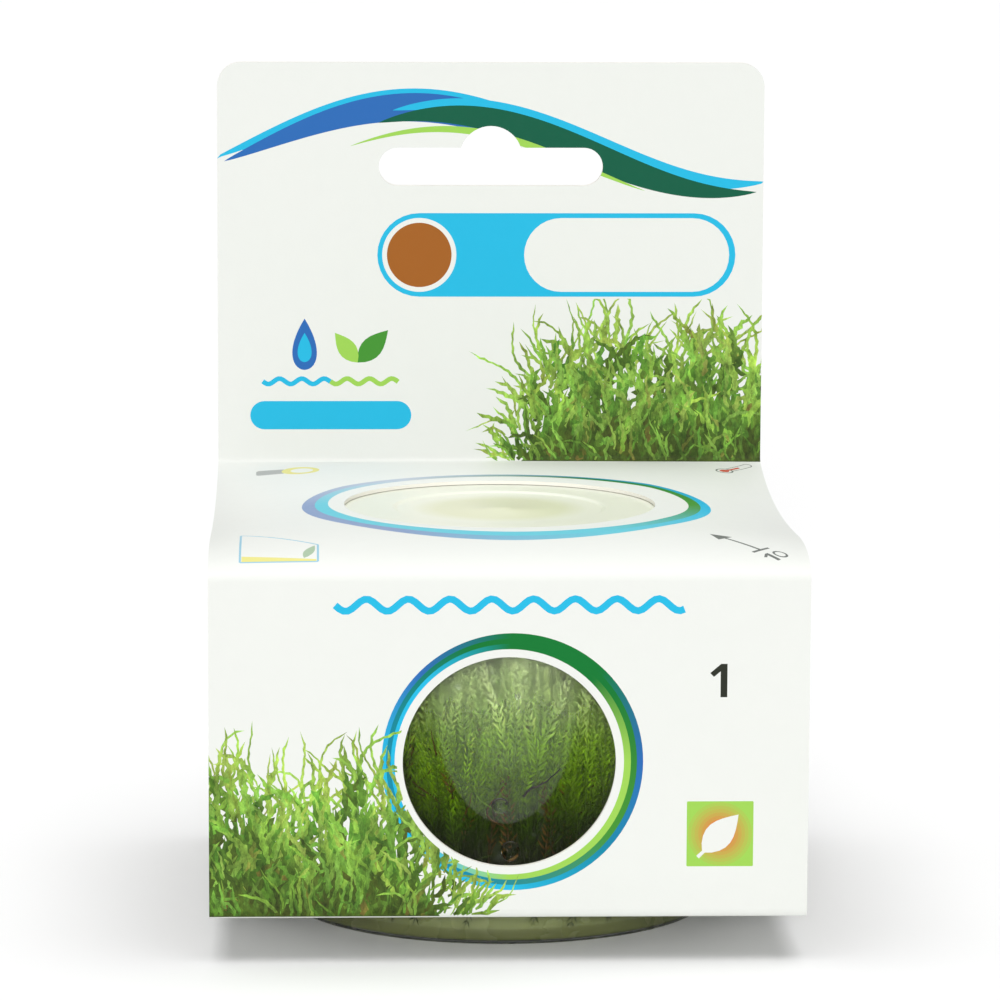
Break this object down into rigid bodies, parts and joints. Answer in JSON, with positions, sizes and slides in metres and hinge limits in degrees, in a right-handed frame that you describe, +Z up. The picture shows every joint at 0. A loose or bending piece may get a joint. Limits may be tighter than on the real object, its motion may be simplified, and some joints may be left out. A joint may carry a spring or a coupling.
{
  "type": "tissue culture spiky moss in a cup with a card sleeve",
  "caption": "Spiky moss grown on gel in a clear cup with a snap lid, held in a folded white card sleeve with a round window and a header with a hanging slot.",
  "frame": {"origin": "on the cup's axis, in the plane that the cup's foot ring stands on", "axes": "+Z up along the cup's axis, -Y out of the front panel with the window, +Y at the header, +X to the viewer's right"},
  "size_m": [0.078, 0.078, 0.1124],
  "materials": {
    "card": "satin",
    "clear_plastic": "gloss",
    "lid_plastic": "satin",
    "gel": "gloss",
    "moss": "matte"
  },
  "bodies": {
    "root": {"card_sleeve": "card", "clear_cup": "clear_plastic", "snap_lid": "lid_plastic", "nutrient_gel": "gel", "moss": "moss"}
  },
  "joints": []
}
